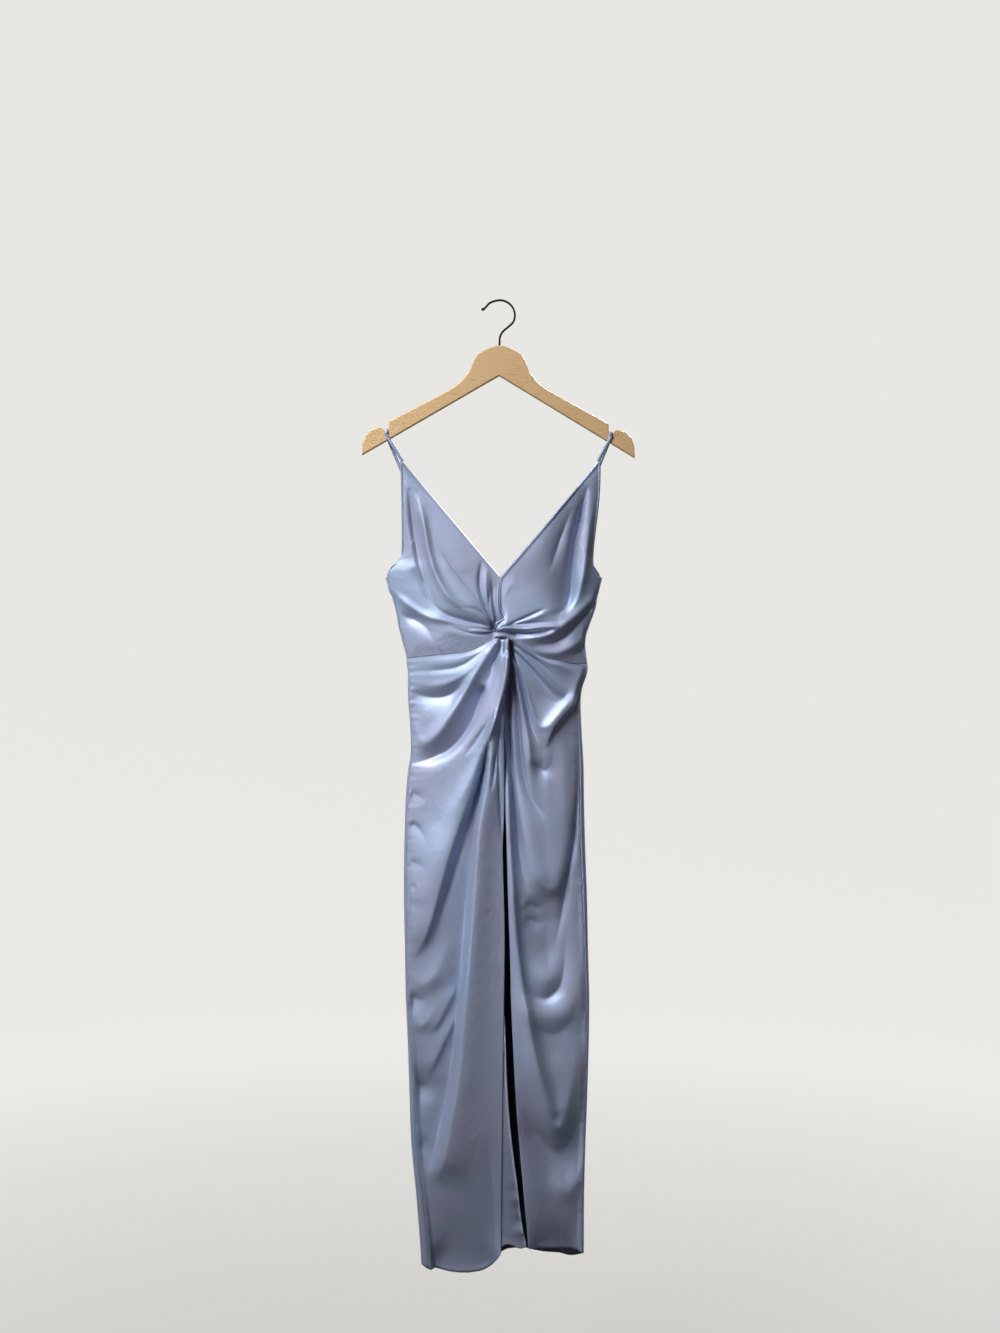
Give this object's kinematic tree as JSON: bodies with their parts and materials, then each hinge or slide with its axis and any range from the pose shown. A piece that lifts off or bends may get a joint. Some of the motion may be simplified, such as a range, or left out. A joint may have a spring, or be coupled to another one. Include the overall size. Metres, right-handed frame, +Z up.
{
  "type": "maxi dress on a clothes hanger",
  "caption": "Satin maxi dress with thin straps, a V neck, a twisted front, a draped skirt and a front slit, hung by its straps on a wooden hanger.",
  "frame": {"origin": "the inside top of the hanger's hook, where it rests on a rail or a nail, in the hanger's middle plane", "axes": "+Z up, +Y from the dress's front to its back, +X to the right as the dress is seen from its front"},
  "size_m": [0.4439, 0.0684, 1.5882],
  "materials": {
    "satin": "smooth dusty-blue satin with a soft sheen, mauve-grey where it turns away from the light",
    "wood": "pale beech under thin clear lacquer",
    "hook": "satin black lacquered wire"
  },
  "bodies": {
    "root": {"front_bodice_left": "satin", "front_bodice_right": "satin", "back_bodice": "satin", "front_skirt_left": "satin", "front_skirt_right": "satin", "back_skirt": "satin", "slit_facing": "satin", "strap_left": "satin", "strap_right": "satin", "hanger_wood": "wood", "hanger_hook": "hook"}
  },
  "joints": []
}
